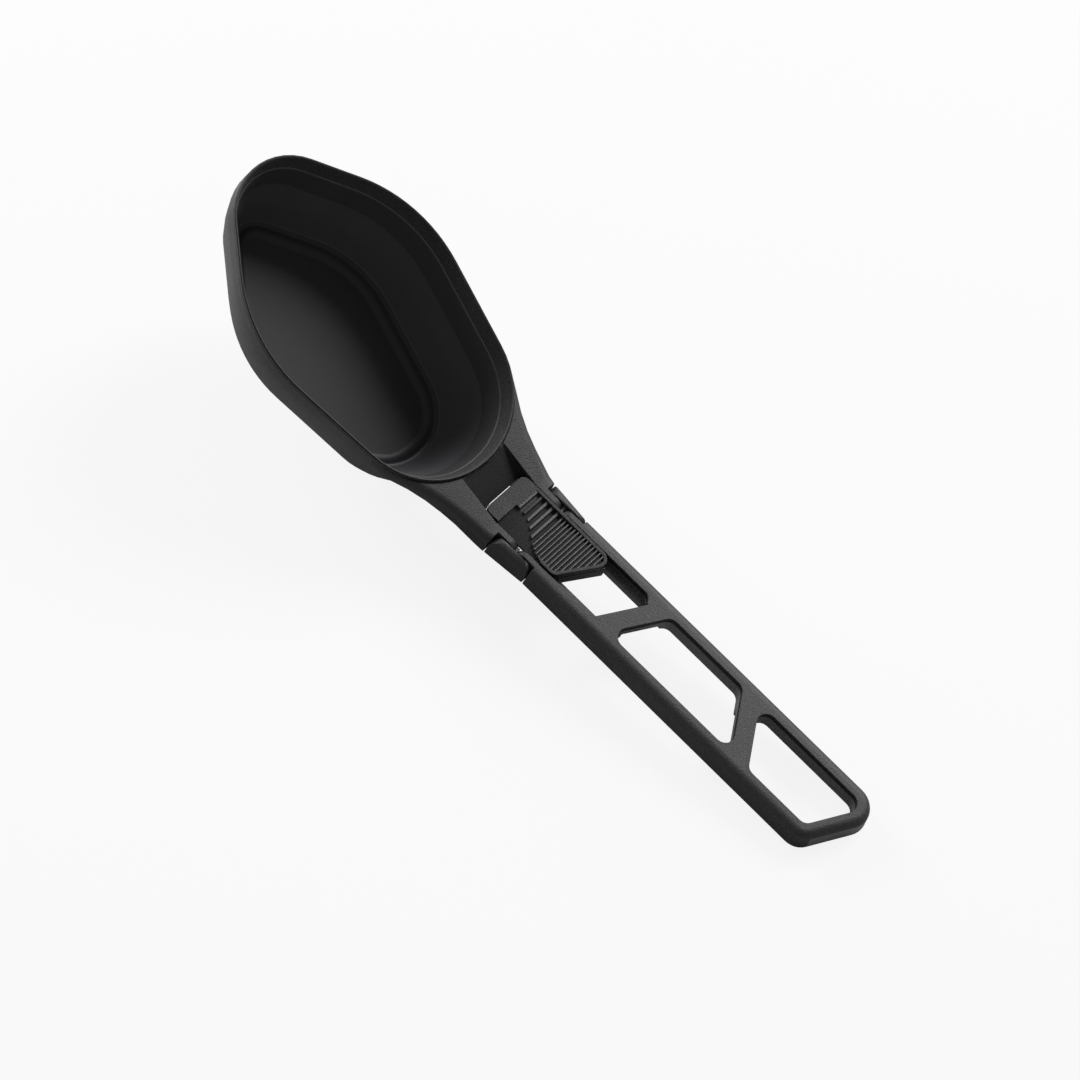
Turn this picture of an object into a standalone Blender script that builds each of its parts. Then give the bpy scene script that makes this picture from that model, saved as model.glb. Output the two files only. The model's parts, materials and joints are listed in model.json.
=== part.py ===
"""Folding serving spoon: deep bowl, double-pivot hinge, slotted handle and sliding lock.

The pieces are drawn in the handle's own frame: X runs from the bowl towards the handle's end,
Z is up, and the origin is midway between the two pivots on the handle's top plane. An empty
then stands the open spoon on the floor, on the rear of its base and the end of its handle.
"""
from math import acos, asin, atan2, ceil, cos, pi, radians, sin, sqrt, tan

import bmesh
import bpy
from mathutils import Matrix, Vector

MM = 0.001

# Clearances and helpers
GAP = 0.3 * MM
OVERRUN = 5.0 * MM
TRIM = 0.05 * MM
MERGE = 0.001 * MM
SMOOTH_ANGLE = radians(35)

# Handle section
HANDLE_DEPTH = 6.5 * MM
HANDLE_HALF = 13.25 * MM
EDGE_ROUND = 2.7 * MM
SIDE_DRAFT = 0.5 * MM
RAIL_WIDTH = 4.65 * MM
EAR_THICKNESS = 1.8 * MM

# Handle plan, all from the hinge centre
HANDLE_LENGTH = 118.65 * MM
END_SLANT = radians(27.0)
END_NEAR_ROUND = 6.0 * MM
END_FAR_ROUND = 7.3 * MM
FIRST_BAR_X = 32.4 * MM
FIRST_BAR_SLANT = radians(28.0)
SECOND_BAR_SETBACK = 42.7 * MM
SECOND_BAR_SLANT = radians(-32.0)
BAR_WIDTH = 5.45 * MM
BAR_DEPTH = 4.4 * MM
RELIEF_WIDE = 4.8 * MM
RELIEF_NARROW = 1.7 * MM
WINDOW_ROUND = 3.0 * MM

# Track of the sliding lock
LIP_REACH = 2.2 * MM
LIP_TOP = 2.4 * MM
LIP_DEPTH = 2.8 * MM
LIP_FRONT_X = 4.5 * MM
TRACK_ROUND = 2.6 * MM

# Hinge
PIVOT_SPACING = 7.0 * MM
EAR_PLAY = 0.4 * MM
NIB_DROP = 1.1 * MM
NIB_SETBACK = 0.15 * MM
PIN_RADIUS = 1.0 * MM
PIN_SEAT_DEPTH = 1.9 * MM
PIN_SETBACK = 0.15 * MM

# Neck
NECK_SHOULDER = 1.75 * MM
NECK_FLARE = 1.45 * MM
NECK_LENGTH = 36.7 * MM
NECK_FLAT_SPREAD = 12.8 * MM
NECK_LOW_SPREAD = 7.8 * MM
NECK_LOW_RISE = 8.5 * MM
SLOT_PLAY = 0.6 * MM
SLIT_NEAR_Y = 4.4 * MM
SLIT_FAR_Y = 5.6 * MM
PAD_DROP = 1.6 * MM
PAD_LENGTH = 9.0 * MM
PAD_EDGE = 0.8 * MM
PAD_SLOPE = radians(31.0)
PAD_UNDERCUT = radians(40.0)

# Bowl
RIM_TILT = radians(16.0)
RIM_MEETS_TOP_X = 6.3 * MM
BOWL_REAR_X = 23.2 * MM
BOWL_LENGTH = 103.1 * MM
BOWL_DEPTH = 32.3 * MM
TIP_RADIUS = 19.1 * MM
SHOULDER_REACH = 35.9 * MM
SHOULDER_HALF = 35.8 * MM
SHOULDER_RADIUS = 45.0 * MM
REAR_HALF = 22.8 * MM
REAR_STRAIGHT = 0.4 * MM
WALL = 2.2 * MM
FLOOR = 2.4 * MM
BASE_ROUND = 3.5 * MM
LEAN_FRONT = 9.4 * MM
LEAN_SIDE = 8.7 * MM
LEAN_REAR = 9.2 * MM
STEP_HEIGHT = 19.8 * MM
STEP_WIDTH = 0.6 * MM
STEP_FALL = 3.5 * MM
LEDGE_HEIGHT = 4.9 * MM
LEDGE_WIDTH = 1.8 * MM
LEDGE_SOFTEN = 0.35 * MM

# Soft edge that caps the rim
EDGE_HEIGHT = 4.8 * MM
EDGE_CAP = 1.0 * MM
EDGE_LINER = 1.3 * MM
EDGE_TOP = 0.8 * MM
EDGE_SOFTEN = 0.35 * MM
NECK_BELOW_RIM = 0.9 * MM

# Sliding lock
TONGUE_REACH = 14.45 * MM
SLIDE_PLAY = 0.4 * MM
SLIDE_RISE = 0.5 * MM
SLIDE_REAR_X = 16.9 * MM
SLIDE_REAR_SLANT = radians(30.0)
SLIDE_FRONT_ROUND = 2.0 * MM
SLIDE_REAR_ROUND = 2.8 * MM
SLIDE_FOOT = 0.8 * MM
RIB_BORDER = 0.9 * MM
RIB_FIRST_X = 8.8 * MM
COARSE_RIB_PITCH = 2.1 * MM
FINE_RIB_PITCH = 1.2 * MM
COARSE_RIB_COUNT = 5
FINE_RIB_COUNT = 14
RIB_DEPTH = 0.7 * MM
RIB_SINK = 0.15 * MM
SCOOP_DEPTH = 0.6 * MM
FACET_TOP_Y = 0.3 * MM
FACET_FRONT_X = 9.4 * MM
FACET_REAR_X = 7.0 * MM
FACET_DEPTH = 0.9 * MM
FACET_EDGE_DEPTH = 1.9 * MM

# Steps along each round stretch
CORNER_STEPS = 6
BOWL_STEPS = 12
PIVOT_STEPS = 14
PIN_SIDES = 24

# Height share of the bowl's wall and the share of its lean that is reached there
WALL_SHARES = ((1.0, 0.0), (0.815, 0.045), (0.57, 0.29), (0.3, 0.63), (0.1, 0.95), (0.0, 1.05))
# Share of the neck's length, then of its flat spread, its low spread and its rise
NECK_SHARES = (
    (0.0, 0.0, 0.0, 0.0),
    (0.098, 0.062, 0.04, 0.047),
    (0.292, 0.195, 0.10, 0.153),
    (0.428, 0.312, 0.205, 0.247),
    (0.564, 0.477, 0.37, 0.365),
    (0.70, 0.695, 0.63, 0.54),
    (0.84, 0.914, 0.91, 0.765),
    (1.0, 1.0, 1.0, 1.0),
)

# Share of a rib's pitch and of its depth, from the rib's front to the next one
RIB_SHARES = ((0.0, 0.0), (0.38, 0.0), (0.48, 1.0), (0.9, 1.0))
# Share of the facet's length and of its reach across the thumb pad
FACET_SHARES = ((0.0, 1.0), (0.26, 0.97), (0.49, 0.67), (0.66, 0.37), (0.84, 0.14), (1.0, 0.02))

# Worked-out places
WINDOW_HALF = HANDLE_HALF - RAIL_WIDTH
LIP_HALF = WINDOW_HALF - LIP_REACH
SLIDE_HALF = WINDOW_HALF - SLIDE_PLAY
SECOND_BAR_X = HANDLE_LENGTH - SECOND_BAR_SETBACK
NECK_FLAT_HALF = HANDLE_HALF - NECK_SHOULDER
NECK_LOW_HALF = HANDLE_HALF + NECK_FLARE
BOWL_TIP_X = BOWL_REAR_X + BOWL_LENGTH * cos(RIM_TILT)
PIVOT_Z = -HANDLE_DEPTH / 2
FRONT_PIVOT_X = -PIVOT_SPACING / 2
REAR_PIVOT_X = PIVOT_SPACING / 2
EAR_RADIUS = (PIVOT_SPACING - EAR_PLAY) / 2
EAR_OUTER = WINDOW_HALF + EAR_THICKNESS
LINK_RADIUS = HANDLE_DEPTH / 2 - TRIM
LINK_INNER = EAR_OUTER + GAP
NECK_CUT_X = FRONT_PIVOT_X - LINK_RADIUS - GAP
HANDLE_CUT_X = REAR_PIVOT_X + LINK_RADIUS + GAP
HANDLE_FLAT_HALF = HANDLE_HALF - SIDE_DRAFT - EDGE_ROUND
BOWL_TIP_Z = (BOWL_TIP_X - RIM_MEETS_TOP_X) * tan(RIM_TILT)
SLOT_X = -TONGUE_REACH - SLOT_PLAY
SLIDE_UNDERSIDE = -LIP_TOP + GAP
SLIDE_FOOT_TOP = -LIP_TOP - LIP_DEPTH - GAP


def new_object(name, mesh):
    item = bpy.data.objects.new(name, mesh)
    bpy.context.scene.collection.objects.link(item)
    return item


def solid_from_rings(name, rings):
    """A closed solid through rings of equal point counts, capped at both ends."""
    shape = bmesh.new()
    loops = [[shape.verts.new(point) for point in ring] for ring in rings]
    for lower, upper in zip(loops, loops[1:]):
        for i in range(len(lower)):
            j = (i + 1) % len(lower)
            shape.faces.new((lower[i], lower[j], upper[j], upper[i]))
    shape.faces.new(list(reversed(loops[0])))
    shape.faces.new(loops[-1])
    bmesh.ops.recalc_face_normals(shape, faces=shape.faces)
    mesh = bpy.data.meshes.new(name)
    shape.to_mesh(mesh)
    shape.free()
    return new_object(name, mesh)


def ring_band(name, rings):
    """A closed band: rings joined in a loop around the outline, without caps."""
    shape = bmesh.new()
    loops = [[shape.verts.new(point) for point in ring] for ring in rings]
    for lower, upper in zip(loops, loops[1:] + loops[:1]):
        for i in range(len(lower)):
            j = (i + 1) % len(lower)
            shape.faces.new((lower[i], lower[j], upper[j], upper[i]))
    bmesh.ops.recalc_face_normals(shape, faces=shape.faces)
    mesh = bpy.data.meshes.new(name)
    shape.to_mesh(mesh)
    shape.free()
    return new_object(name, mesh)


def combine(target, tool, operation):
    """Applies one exact Boolean and removes its tool."""
    modifier = target.modifiers.new(operation.lower(), "BOOLEAN")
    modifier.operation = operation
    modifier.solver = "EXACT"
    modifier.object = tool
    depsgraph = bpy.context.evaluated_depsgraph_get()
    mesh = bpy.data.meshes.new_from_object(target.evaluated_get(depsgraph))
    target.modifiers.clear()
    target.data = mesh
    bpy.data.objects.remove(tool)


def tidy(item):
    """Welds coincident points that a Boolean left and marks the sharp edges."""
    shape = bmesh.new()
    shape.from_mesh(item.data)
    bmesh.ops.remove_doubles(shape, verts=shape.verts, dist=MERGE)
    bmesh.ops.dissolve_degenerate(shape, edges=shape.edges, dist=MERGE)
    bmesh.ops.recalc_face_normals(shape, faces=shape.faces)
    shape.to_mesh(item.data)
    shape.free()
    item.data.shade_smooth()
    item.data.set_sharp_from_angle(angle=SMOOTH_ANGLE)


def rounded_outline(corners):
    """Points of a closed outline whose (x, y, radius, steps) corners become arcs."""
    points = []
    count = len(corners)
    for i, (x, y, radius, steps) in enumerate(corners):
        corner = Vector((x, y))
        before = (Vector(corners[i - 1][:2]) - corner).normalized()
        after = (Vector(corners[(i + 1) % count][:2]) - corner).normalized()
        half = before.angle(after) / 2
        centre = corner + (before + after).normalized() * (radius / sin(half))
        start = corner + before * (radius / tan(half)) - centre
        turn = pi - 2 * half
        side = 1 if before.x * after.y - before.y * after.x < 0 else -1
        for k in range(steps + 1):
            points.append(centre + Matrix.Rotation(side * turn * k / steps, 2) @ start)
    return points


def moved_corners(corners, insets):
    """Corners of a counter-clockwise outline after each edge moved inward by its inset."""
    lines = []
    count = len(corners)
    for i, inset in enumerate(insets):
        start = Vector(corners[i][:2])
        direction = (Vector(corners[(i + 1) % count][:2]) - start).normalized()
        lines.append((start + Vector((-direction.y, direction.x)) * inset, direction))
    moved = []
    for i, (_, _, radius, steps) in enumerate(corners):
        point, along = lines[i - 1]
        other, across = lines[i]
        cross = along.x * across.y - along.y * across.x
        offset = other - point
        reach = (offset.x * across.y - offset.y * across.x) / cross
        corner = point + along * reach
        shrink = (insets[i - 1] + insets[i]) / 2
        moved.append((corner.x, corner.y, max(radius - shrink, 0), steps))
    return moved


def prism_z(name, outline, low, high):
    return solid_from_rings(name, [[(p[0], p[1], z) for p in outline] for z in (low, high)])


def prism_y(name, outline, low, high):
    return solid_from_rings(name, [[(p[0], y, p[1]) for p in outline] for y in (low, high)])


def box(name, low, high):
    outline = ((low[0], low[1]), (high[0], low[1]), (high[0], high[1]), (low[0], high[1]))
    return prism_z(name, outline, low[2], high[2])


def cylinder_y(name, x, radius, low, high):
    outline = []
    for k in range(PIN_SIDES):
        angle = 2 * pi * k / PIN_SIDES
        outline.append((x + radius * cos(angle), PIVOT_Z + radius * sin(angle)))
    return prism_y(name, outline, low, high)


def body_section(x, flat_half, low_half, top, bottom):
    """Cross-section of the neck and links: flat top, rounded shoulders, leaning sides."""
    side = [(low_half, bottom)]
    for k in range(CORNER_STEPS + 1):
        angle = pi / 2 * k / CORNER_STEPS
        side.append((flat_half + EDGE_ROUND * cos(angle), top - EDGE_ROUND * (1 - sin(angle))))
    ring = [(x, y, z) for y, z in side]
    return ring + [(x, -y, z) for y, z in reversed(side)]


def ear_end_cutter(pivot_x, direction):
    """What is taken off in front of an ear, which is round above its pin and square below it."""
    reach = sqrt(EAR_RADIUS ** 2 - PIVOT_Z ** 2)
    start = atan2(-PIVOT_Z, reach)
    outline = []
    for k in range(PIVOT_STEPS + 1):
        angle = start - start * k / PIVOT_STEPS
        outline.append((pivot_x + direction * EAR_RADIUS * cos(angle), PIVOT_Z + EAR_RADIUS * sin(angle)))
    end_x = pivot_x + direction * EAR_RADIUS
    far_x = pivot_x + direction * (EAR_RADIUS + OVERRUN)
    outline += [(end_x, -HANDLE_DEPTH - OVERRUN), (far_x, -HANDLE_DEPTH - OVERRUN)]
    outline += [(far_x, OVERRUN), (pivot_x + direction * reach, OVERRUN)]
    return prism_y("ear_end", outline, -HANDLE_HALF - OVERRUN, HANDLE_HALF + OVERRUN)


def bare_ears(item, cut_x, direction):
    """Takes the flanks off both sides of the ears, where the links lie."""
    far_x = direction * (abs(cut_x) - PIVOT_SPACING - LINK_RADIUS - OVERRUN)
    for side in (-1, 1):
        ys = sorted((side * EAR_OUTER, side * (NECK_LOW_HALF + OVERRUN)))
        xs = sorted((cut_x, far_x))
        low = (xs[0], ys[0], -HANDLE_DEPTH - OVERRUN)
        combine(item, box("flank", low, (xs[1], ys[1], OVERRUN)), "DIFFERENCE")


def drill_ears(item, pivot_x):
    for side in (-1, 1):
        ys = sorted((side * (WINDOW_HALF - GAP), side * (EAR_OUTER + GAP)))
        hole = cylinder_y("pin_hole", pivot_x, PIN_RADIUS + GAP, ys[0], ys[1])
        combine(item, hole, "DIFFERENCE")


# Handle

def slanted_x(x_at_centre, slant, y):
    return x_at_centre + y * tan(slant)


def window_corners(left, right, half, radii):
    """Corners of a window between two slanted edges, each given as (x at centre, slant)."""
    near_left, near_right, far_right, far_left = radii
    return [
        (slanted_x(*left, -half), -half, near_left, CORNER_STEPS),
        (slanted_x(*right, -half), -half, near_right, CORNER_STEPS),
        (slanted_x(*right, half), half, far_right, CORNER_STEPS),
        (slanted_x(*left, half), half, far_left, CORNER_STEPS),
    ]


def handle_blank():
    """The handle's outer form: an outline that draws in towards the rounded top edge."""
    corners = [
        (0, -HANDLE_HALF, 0, 1),
        (slanted_x(HANDLE_LENGTH, END_SLANT, -HANDLE_HALF), -HANDLE_HALF, END_NEAR_ROUND, CORNER_STEPS),
        (slanted_x(HANDLE_LENGTH, END_SLANT, HANDLE_HALF), HANDLE_HALF, END_FAR_ROUND, BOWL_STEPS),
        (0, HANDLE_HALF, 0, 1),
    ]
    levels = [(-HANDLE_DEPTH, 0)]
    for k in range(CORNER_STEPS + 1):
        angle = pi / 2 * k / CORNER_STEPS
        inset = SIDE_DRAFT + EDGE_ROUND * (1 - cos(angle))
        levels.append((-EDGE_ROUND * (1 - sin(angle)), inset))
    rings = []
    for z, inset in levels:
        moved = moved_corners(corners, (inset, inset, inset, 0))
        rings.append([(p.x, p.y, z) for p in rounded_outline(moved)])
    return solid_from_rings("handle_frame", rings)


def make_handle():
    handle = handle_blank()
    combine(handle, ear_end_cutter(REAR_PIVOT_X, -1), "DIFFERENCE")
    bare_ears(handle, HANDLE_CUT_X, 1)
    first_front = (FIRST_BAR_X, FIRST_BAR_SLANT)
    first_rear = (FIRST_BAR_X + BAR_WIDTH / cos(FIRST_BAR_SLANT), FIRST_BAR_SLANT)
    second_front = (SECOND_BAR_X, SECOND_BAR_SLANT)
    second_rear = (SECOND_BAR_X + BAR_WIDTH / cos(SECOND_BAR_SLANT), SECOND_BAR_SLANT)
    end_front = (HANDLE_LENGTH - RAIL_WIDTH / cos(END_SLANT), END_SLANT)
    open_front = (REAR_PIVOT_X - EAR_RADIUS - OVERRUN, 0)
    low = -HANDLE_DEPTH - OVERRUN
    lip_front = (LIP_FRONT_X, 0)
    lip_bottom = -LIP_TOP - LIP_DEPTH
    sharp = (0, 0, 0, 0)
    track_round = (0, TRACK_ROUND / 2, TRACK_ROUND, 0)
    all_round = (WINDOW_ROUND,) * 4
    lip_rear = (FIRST_BAR_X - TRIM, FIRST_BAR_SLANT)
    recess_rear = (FIRST_BAR_X - 2 * TRIM, FIRST_BAR_SLANT)
    cuts = (
        (open_front, first_front, WINDOW_HALF, track_round, -LIP_TOP, OVERRUN),
        (open_front, lip_rear, LIP_HALF, sharp, low, OVERRUN),
        (open_front, recess_rear, WINDOW_HALF - TRIM, sharp, low, lip_bottom),
        (open_front, lip_front, WINDOW_HALF + TRIM, sharp, low, OVERRUN),
        (first_rear, second_front, WINDOW_HALF, all_round, low, OVERRUN),
        (second_rear, end_front, WINDOW_HALF, all_round, low, OVERRUN),
    )
    for left, right, half, radii, bottom, top in cuts:
        outline = rounded_outline(window_corners(left, right, half, radii))
        combine(handle, prism_z("window", outline, bottom, top), "DIFFERENCE")
    bars = ((first_front, first_rear, RELIEF_NARROW), (second_front, second_rear, RELIEF_WIDE))
    for front, rear, far_relief in bars:
        near_y = RELIEF_WIDE - WINDOW_HALF
        far_y = WINDOW_HALF - far_relief
        outline = []
        for y in (near_y, far_y):
            outline.append((slanted_x(front[0] - GAP, front[1], y), y))
        for y in (far_y, near_y):
            outline.append((slanted_x(rear[0] + GAP, rear[1], y), y))
        combine(handle, prism_z("bar_underside", outline, low, -BAR_DEPTH), "DIFFERENCE")
    drill_ears(handle, REAR_PIVOT_X)
    tidy(handle)
    return handle


# Hinge

def link_envelope():
    """The outer form that the links share with the neck in front and the handle behind."""
    front = (NECK_CUT_X - GAP, NECK_FLAT_HALF, NECK_LOW_HALF)
    rear = (HANDLE_CUT_X + GAP, HANDLE_FLAT_HALF, HANDLE_HALF)
    rings = [body_section(x, flat, low, 0, -HANDLE_DEPTH) for x, flat, low in (front, rear)]
    return solid_from_rings("link_envelope", rings)


def nib_outline():
    """Outline of the link's nib, which fills the notch between the ears' rounds."""
    radius = EAR_RADIUS + GAP
    top = asin((-NIB_DROP - PIVOT_Z) / radius)
    low = acos(PIVOT_SPACING / 2 / radius)
    front = []
    rear = []
    for k in range(CORNER_STEPS + 1):
        angle = low + (top - low) * k / CORNER_STEPS
        z = PIVOT_Z + radius * sin(angle)
        front.append((FRONT_PIVOT_X + radius * cos(angle), z))
        rear.append((REAR_PIVOT_X - radius * cos(angle), z))
    return front[:0:-1] + [(0, front[0][1])] + rear[1:]


def make_link(name, side):
    """A link, round above its pins and square below them, where it stops against its neighbours."""
    outline = []
    for centre, start in ((REAR_PIVOT_X, 0), (FRONT_PIVOT_X, pi / 2)):
        for k in range(PIVOT_STEPS + 1):
            angle = start + pi / 2 * k / PIVOT_STEPS
            outline.append((centre + LINK_RADIUS * cos(angle), PIVOT_Z + LINK_RADIUS * sin(angle)))
    outline.append((FRONT_PIVOT_X - LINK_RADIUS, PIVOT_Z - LINK_RADIUS))
    outline.append((REAR_PIVOT_X + LINK_RADIUS, PIVOT_Z - LINK_RADIUS))
    ys = sorted((side * LINK_INNER, side * (NECK_LOW_HALF + OVERRUN)))
    link = prism_y(name, outline, ys[0], ys[1])
    combine(link, link_envelope(), "INTERSECT")
    for pivot_x in (FRONT_PIVOT_X, REAR_PIVOT_X):
        ys = sorted((side * (LINK_INNER - GAP / 2), side * (LINK_INNER + PIN_SEAT_DEPTH)))
        seat = cylinder_y("pin_seat", pivot_x, PIN_RADIUS + GAP, ys[0], ys[1])
        combine(link, seat, "DIFFERENCE")
    ys = sorted((side * (WINDOW_HALF + NIB_SETBACK), side * (LINK_INNER + GAP)))
    combine(link, prism_y("nib", nib_outline(), ys[0], ys[1]), "UNION")
    tidy(link)
    return link


def make_pin(name, pivot_x, side):
    inner = WINDOW_HALF + PIN_SETBACK
    outer = LINK_INNER + PIN_SEAT_DEPTH - GAP
    ys = sorted((side * inner, side * outer))
    pin = cylinder_y(name, pivot_x, PIN_RADIUS, ys[0], ys[1])
    tidy(pin)
    return pin


# Bowl and neck

def bowl_corners():
    """The rim's outer outline in its own plane, measured from the tip."""
    run = SHOULDER_REACH - TIP_RADIUS
    span = sqrt(run ** 2 + SHOULDER_HALF ** 2)
    front_angle = atan2(SHOULDER_HALF, run) - asin(TIP_RADIUS / span)
    nose = TIP_RADIUS - TIP_RADIUS / sin(front_angle)
    rear_angle = atan2(SHOULDER_HALF - REAR_HALF, BOWL_LENGTH - SHOULDER_REACH)
    rear_radius = (REAR_HALF - REAR_STRAIGHT) / tan((pi / 2 - rear_angle) / 2)
    return [
        (nose, 0, TIP_RADIUS, BOWL_STEPS + 1),
        (SHOULDER_REACH, -SHOULDER_HALF, SHOULDER_RADIUS, BOWL_STEPS),
        (BOWL_LENGTH, -REAR_HALF, rear_radius, BOWL_STEPS),
        (BOWL_LENGTH, REAR_HALF, rear_radius, BOWL_STEPS),
        (SHOULDER_REACH, SHOULDER_HALF, SHOULDER_RADIUS, BOWL_STEPS),
    ]


def lean_share(height):
    """How far the wall has leaned in at a height above the base."""
    share = height / BOWL_DEPTH
    for (high, high_lean), (low, low_lean) in zip(WALL_SHARES, WALL_SHARES[1:]):
        if share >= low:
            return low_lean + (high_lean - low_lean) * (share - low) / (high - low)
    return WALL_SHARES[-1][1]


def bowl_ring(inset, height):
    """The bowl's outline at a height above its base, moved in by the lean and an inset."""
    share = lean_share(min(height, BOWL_DEPTH))
    front = inset + share * LEAN_FRONT
    side = inset + share * LEAN_SIDE
    rear = inset + share * LEAN_REAR
    corners = moved_corners(bowl_corners(), (front, side, rear, side, front))
    ring = []
    for p in rounded_outline(corners):
        drop = height - BOWL_DEPTH
        x = -BOWL_TIP_X + p.x * cos(RIM_TILT) + drop * sin(RIM_TILT)
        z = BOWL_TIP_Z - p.x * sin(RIM_TILT) + drop * cos(RIM_TILT)
        ring.append((x, p.y, z))
    return ring


def bowl_outside():
    levels = []
    for k in range(CORNER_STEPS + 1):
        angle = pi / 2 * k / CORNER_STEPS
        levels.append((BASE_ROUND * (1 - sin(angle)), BASE_ROUND * (1 - cos(angle))))
    for share, _ in reversed(WALL_SHARES[1:-2]):
        levels.append((0, share * BOWL_DEPTH))
    levels.append((0, BOWL_DEPTH - EDGE_CAP))
    return solid_from_rings("spoon_head", [bowl_ring(inset, height) for inset, height in levels])


def bowl_inside():
    """The cavity and the seat of the soft edge, from above the rim down to the floor."""
    liner = EDGE_LINER
    seat = BOWL_DEPTH - EDGE_CAP - GAP
    levels = [
        (-GAP, BOWL_DEPTH + OVERRUN),
        (-GAP, seat),
        (WALL - liner - GAP, seat),
        (WALL - liner - GAP, BOWL_DEPTH - EDGE_HEIGHT - GAP),
        (WALL, BOWL_DEPTH - EDGE_HEIGHT - GAP),
        (WALL, STEP_HEIGHT),
        (WALL + STEP_WIDTH, STEP_HEIGHT - STEP_FALL),
        (WALL + STEP_WIDTH, WALL_SHARES[3][0] * BOWL_DEPTH),
        (WALL + STEP_WIDTH, LEDGE_HEIGHT + LEDGE_SOFTEN),
        (WALL + STEP_WIDTH + LEDGE_SOFTEN, LEDGE_HEIGHT),
        (WALL + LEDGE_WIDTH - LEDGE_SOFTEN, LEDGE_HEIGHT),
        (WALL + LEDGE_WIDTH, LEDGE_HEIGHT - LEDGE_SOFTEN),
    ]
    fillet = LEDGE_HEIGHT - LEDGE_SOFTEN - FLOOR
    for k in range(1, CORNER_STEPS + 1):
        angle = pi / 2 * k / CORNER_STEPS
        levels.append((WALL + LEDGE_WIDTH + fillet * (1 - cos(angle)), FLOOR + fillet * (1 - sin(angle))))
    return solid_from_rings("cavity", [bowl_ring(inset, height) for inset, height in levels])


def neck_shares(share):
    for low, high in zip(NECK_SHARES, NECK_SHARES[1:]):
        if share <= high[0]:
            part = (share - low[0]) / (high[0] - low[0])
            return [a + (b - a) * part for a, b in zip(low[1:], high[1:])]
    return NECK_SHARES[-1][1:]


def neck_body():
    """The neck from the ears to inside the bowl's wall, under the plane of the rim."""
    plane_x = -RIM_MEETS_TOP_X - NECK_BELOW_RIM / sin(RIM_TILT)
    ears_x = FRONT_PIVOT_X + EAR_RADIUS + OVERRUN
    rings = [body_section(ears_x, NECK_FLAT_HALF, NECK_LOW_HALF, 0, -HANDLE_DEPTH)]
    shares = {row[0] for row in NECK_SHARES}
    shares.add((NECK_CUT_X - plane_x) / NECK_LENGTH)
    for share in sorted(shares):
        flat, low, rise = neck_shares(share)
        x = NECK_CUT_X - share * NECK_LENGTH
        top = max(0, (plane_x - x) * tan(RIM_TILT))
        flat_half = NECK_FLAT_HALF + flat * NECK_FLAT_SPREAD
        low_half = NECK_LOW_HALF + low * NECK_LOW_SPREAD
        rings.append(body_section(x, flat_half, low_half, top, -HANDLE_DEPTH + rise * NECK_LOW_RISE))
    return solid_from_rings("neck", rings)


def fork_cutter():
    """The open fork for the tongue and, in front of it, the sunken ramp of the pad."""
    high = OVERRUN
    low = -HANDLE_DEPTH - OVERRUN
    rear_x = FRONT_PIVOT_X + EAR_RADIUS + OVERRUN
    ramp_x = SLOT_X - PAD_LENGTH
    ramp_z = -PAD_DROP + PAD_LENGTH * tan(PAD_SLOPE)
    outline = [(ramp_x, high), (ramp_x, ramp_z), (SLOT_X, -PAD_DROP), (rear_x, -PAD_DROP), (rear_x, high)]
    fork = prism_y("fork", outline, -WINDOW_HALF, WINDOW_HALF)
    radii = (SLIDE_FRONT_ROUND, 0, 0, SLIDE_FRONT_ROUND)
    slot = rounded_outline(window_corners((SLOT_X, 0), (rear_x, 0), WINDOW_HALF - TRIM, radii))
    combine(fork, prism_z("slot", slot, low, -PAD_DROP + TRIM), "UNION")
    return fork


def slit_cutter():
    """The undercut behind the pad's edge, through which a slit shows in front of the tongue."""
    low = -HANDLE_DEPTH - OVERRUN
    edge_z = -PAD_DROP - PAD_EDGE
    rear_x = SLOT_X + OVERRUN
    low_x = SLOT_X + (low - edge_z) * tan(PAD_UNDERCUT)
    outline = ((SLOT_X, edge_z), (low_x, low), (rear_x, low), (rear_x, edge_z))
    return prism_y("slit", outline, -SLIT_NEAR_Y, SLIT_FAR_Y)


def make_head():
    head = bowl_outside()
    neck = neck_body()
    combine(neck, ear_end_cutter(FRONT_PIVOT_X, 1), "DIFFERENCE")
    bare_ears(neck, NECK_CUT_X, -1)
    combine(neck, fork_cutter(), "DIFFERENCE")
    combine(neck, slit_cutter(), "DIFFERENCE")
    drill_ears(neck, FRONT_PIVOT_X)
    combine(head, neck, "UNION")
    combine(head, bowl_inside(), "DIFFERENCE")
    tidy(head)
    return head


def make_soft_edge():
    """A band with an L section: a cap over the wall's top and a leaning liner down its inside."""
    cap = BOWL_DEPTH - EDGE_CAP
    levels = (
        (0, cap),
        (0, BOWL_DEPTH - EDGE_SOFTEN),
        (EDGE_SOFTEN, BOWL_DEPTH),
        (EDGE_TOP - EDGE_SOFTEN, BOWL_DEPTH),
        (EDGE_TOP, BOWL_DEPTH - EDGE_SOFTEN),
        (WALL, BOWL_DEPTH - EDGE_HEIGHT),
        (WALL - EDGE_LINER, BOWL_DEPTH - EDGE_HEIGHT),
        (WALL - EDGE_LINER, cap),
    )
    band = ring_band("soft_rim_edge", [bowl_ring(inset, height) for inset, height in levels])
    tidy(band)
    return band


# Sliding lock

def slide_plan(inset):
    near_rear_x = slanted_x(SLIDE_REAR_X, SLIDE_REAR_SLANT, -SLIDE_HALF)
    far_rear_x = slanted_x(SLIDE_REAR_X, SLIDE_REAR_SLANT, SLIDE_HALF)
    corners = [
        (-TONGUE_REACH, -SLIDE_HALF, SLIDE_FRONT_ROUND, CORNER_STEPS),
        (near_rear_x, -SLIDE_HALF, SLIDE_FRONT_ROUND, CORNER_STEPS),
        (far_rear_x, SLIDE_HALF, SLIDE_REAR_ROUND, CORNER_STEPS),
        (-TONGUE_REACH, SLIDE_HALF, SLIDE_FRONT_ROUND, CORNER_STEPS),
    ]
    return rounded_outline(moved_corners(corners, (inset,) * len(corners)))


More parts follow.
